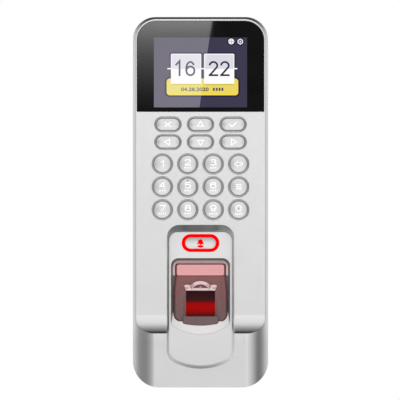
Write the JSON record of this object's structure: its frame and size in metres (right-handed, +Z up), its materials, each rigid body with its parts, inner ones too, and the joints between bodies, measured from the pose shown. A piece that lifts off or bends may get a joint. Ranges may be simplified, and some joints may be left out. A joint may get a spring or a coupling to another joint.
{
  "type": "fingerprint scanner terminal",
  "caption": "Slim wall-mounted access terminal with a colour display, a keypad, a lit doorbell button and an optical finger reader over a chin.",
  "frame": {"origin": "centre of the four wall screw holes on the back face of the wall plate, halfway up the terminal, in the plane of the wall", "axes": "+X to the user's right as they face the terminal, +Y into the wall, +Z up; the user stands on the -Y side"},
  "size_m": [0.0712, 0.0347, 0.195],
  "materials": {
    "zinc_steel": "zinc plated, satin",
    "dark_steel": "black oxide",
    "bright_steel": "tinned, bright",
    "dome_steel": "polished spring steel",
    "black_abs": "fine matt texture",
    "silver_abs": "silver-grey paint on moulded plastic, satin",
    "light_abs": "pale grey, satin",
    "grey_abs": "satin",
    "key_plastic": "pale grey, soft gloss",
    "black_glass": "black-backed, gloss",
    "display_glass": "lit colour display",
    "adhesive_tape": "black foam tape",
    "seal_rubber": "soft black rubber",
    "silicone_mat": "translucent grey silicone",
    "ribbon_film": "amber polyimide film",
    "circuit_board": "green solder mask",
    "chip_epoxy": "black moulded epoxy",
    "capacitor_sleeve": "dark blue sleeve",
    "relay_case": "blue case",
    "terminal_plastic": "green connector plastic",
    "ivory_plastic": "ivory acetal",
    "red_smoke_plastic": "smoky red, translucent",
    "pink_diffuser": "pink diffuser, lit from behind",
    "prism_glass": "dark red optical glass",
    "red_lamp": "red lamp",
    "red_light_guide": "red light ring, lit"
  },
  "bodies": {
    "case": {"wall_plate": "zinc_steel", "wall_plate_screw": "dark_steel", "rear_cover": "black_abs", "cover_screws": "dark_steel", "cover_seal": "seal_rubber", "main_housing": "silver_abs", "front_fascia": "silver_abs", "display_lens": "black_glass", "lens_tape": "adhesive_tape", "lcd_cell": "display_glass", "lcd_backlight": "bright_steel", "lcd_ribbon": "ribbon_film", "key_guide": "grey_abs", "keypad_mat": "silicone_mat", "key_domes": "dome_steel", "key_board": "circuit_board", "key_board_screws": "bright_steel", "key_ribbon": "ribbon_film", "main_board": "circuit_board", "board_screws": "bright_steel", "board_chips": "chip_epoxy", "shield_can": "bright_steel", "capacitors": "capacitor_sleeve", "relay": "relay_case", "coin_cell": "bright_steel", "speaker": "black_abs", "network_jack": "bright_steel", "terminal_header": "terminal_plastic", "tamper_switch": "chip_epoxy", "card_antenna": "circuit_board", "sensor_panel": "light_abs", "sensor_cowl": "red_smoke_plastic", "light_bar": "pink_diffuser", "finger_prism": "prism_glass", "sensor_lamps": "red_lamp", "sensor_board": "circuit_board", "lens_barrel": "black_abs", "sensor_carrier": "black_abs", "bell_ring": "red_light_guide", "bell_board": "circuit_board"},
    "key_cancel": {"key_cancel": "key_plastic"},
    "key_up": {"key_up": "key_plastic"},
    "key_enter": {"key_enter": "key_plastic"},
    "key_left": {"key_left": "key_plastic"},
    "key_down": {"key_down": "key_plastic"},
    "key_right": {"key_right": "key_plastic"},
    "key_1": {"key_1": "key_plastic"},
    "key_2": {"key_2": "key_plastic"},
    "key_3": {"key_3": "key_plastic"},
    "key_back": {"key_back": "key_plastic"},
    "key_4": {"key_4": "key_plastic"},
    "key_5": {"key_5": "key_plastic"},
    "key_6": {"key_6": "key_plastic"},
    "key_menu": {"key_menu": "key_plastic"},
    "key_7": {"key_7": "key_plastic"},
    "key_8": {"key_8": "key_plastic"},
    "key_9": {"key_9": "key_plastic"},
    "key_0": {"key_0": "key_plastic"},
    "bell_button": {"bell_button": "light_abs"},
    "tamper_plunger": {"tamper_plunger": "ivory_plastic"}
  },
  "joints": [
    {"name": "key_cancel_press", "type": "slide", "parent": "case", "child": "key_cancel", "axis": [0, 1, 0], "range_m": [0, 0.0008], "stiffness_N_per_m": 300, "springref_m": -0.0004},
    {"name": "key_up_press", "type": "slide", "parent": "case", "child": "key_up", "axis": [0, 1, 0], "range_m": [0, 0.0008], "stiffness_N_per_m": 300, "springref_m": -0.0004},
    {"name": "key_enter_press", "type": "slide", "parent": "case", "child": "key_enter", "axis": [0, 1, 0], "range_m": [0, 0.0008], "stiffness_N_per_m": 300, "springref_m": -0.0004},
    {"name": "key_left_press", "type": "slide", "parent": "case", "child": "key_left", "axis": [0, 1, 0], "range_m": [0, 0.0008], "stiffness_N_per_m": 300, "springref_m": -0.0004},
    {"name": "key_down_press", "type": "slide", "parent": "case", "child": "key_down", "axis": [0, 1, 0], "range_m": [0, 0.0008], "stiffness_N_per_m": 300, "springref_m": -0.0004},
    {"name": "key_right_press", "type": "slide", "parent": "case", "child": "key_right", "axis": [0, 1, 0], "range_m": [0, 0.0008], "stiffness_N_per_m": 300, "springref_m": -0.0004},
    {"name": "key_1_press", "type": "slide", "parent": "case", "child": "key_1", "axis": [0, 1, 0], "range_m": [0, 0.0008], "stiffness_N_per_m": 300, "springref_m": -0.0004},
    {"name": "key_2_press", "type": "slide", "parent": "case", "child": "key_2", "axis": [0, 1, 0], "range_m": [0, 0.0008], "stiffness_N_per_m": 300, "springref_m": -0.0004},
    {"name": "key_3_press", "type": "slide", "parent": "case", "child": "key_3", "axis": [0, 1, 0], "range_m": [0, 0.0008], "stiffness_N_per_m": 300, "springref_m": -0.0004},
    {"name": "key_back_press", "type": "slide", "parent": "case", "child": "key_back", "axis": [0, 1, 0], "range_m": [0, 0.0008], "stiffness_N_per_m": 300, "springref_m": -0.0004},
    {"name": "key_4_press", "type": "slide", "parent": "case", "child": "key_4", "axis": [0, 1, 0], "range_m": [0, 0.0008], "stiffness_N_per_m": 300, "springref_m": -0.0004},
    {"name": "key_5_press", "type": "slide", "parent": "case", "child": "key_5", "axis": [0, 1, 0], "range_m": [0, 0.0008], "stiffness_N_per_m": 300, "springref_m": -0.0004},
    {"name": "key_6_press", "type": "slide", "parent": "case", "child": "key_6", "axis": [0, 1, 0], "range_m": [0, 0.0008], "stiffness_N_per_m": 300, "springref_m": -0.0004},
    {"name": "key_menu_press", "type": "slide", "parent": "case", "child": "key_menu", "axis": [0, 1, 0], "range_m": [0, 0.0008], "stiffness_N_per_m": 300, "springref_m": -0.0004},
    {"name": "key_7_press", "type": "slide", "parent": "case", "child": "key_7", "axis": [0, 1, 0], "range_m": [0, 0.0008], "stiffness_N_per_m": 300, "springref_m": -0.0004},
    {"name": "key_8_press", "type": "slide", "parent": "case", "child": "key_8", "axis": [0, 1, 0], "range_m": [0, 0.0008], "stiffness_N_per_m": 300, "springref_m": -0.0004},
    {"name": "key_9_press", "type": "slide", "parent": "case", "child": "key_9", "axis": [0, 1, 0], "range_m": [0, 0.0008], "stiffness_N_per_m": 300, "springref_m": -0.0004},
    {"name": "key_0_press", "type": "slide", "parent": "case", "child": "key_0", "axis": [0, 1, 0], "range_m": [0, 0.0008], "stiffness_N_per_m": 300, "springref_m": -0.0004},
    {"name": "bell_button_press", "type": "slide", "parent": "case", "child": "bell_button", "axis": [0, 1, 0], "range_m": [0, 0.0007], "stiffness_N_per_m": 300, "springref_m": -0.0004},
    {"name": "tamper_plunger_press", "type": "slide", "parent": "case", "child": "tamper_plunger", "axis": [0, -1, 0], "range_m": [0, 0.0012], "stiffness_N_per_m": 150, "springref_m": -0.0008}
  ]
}
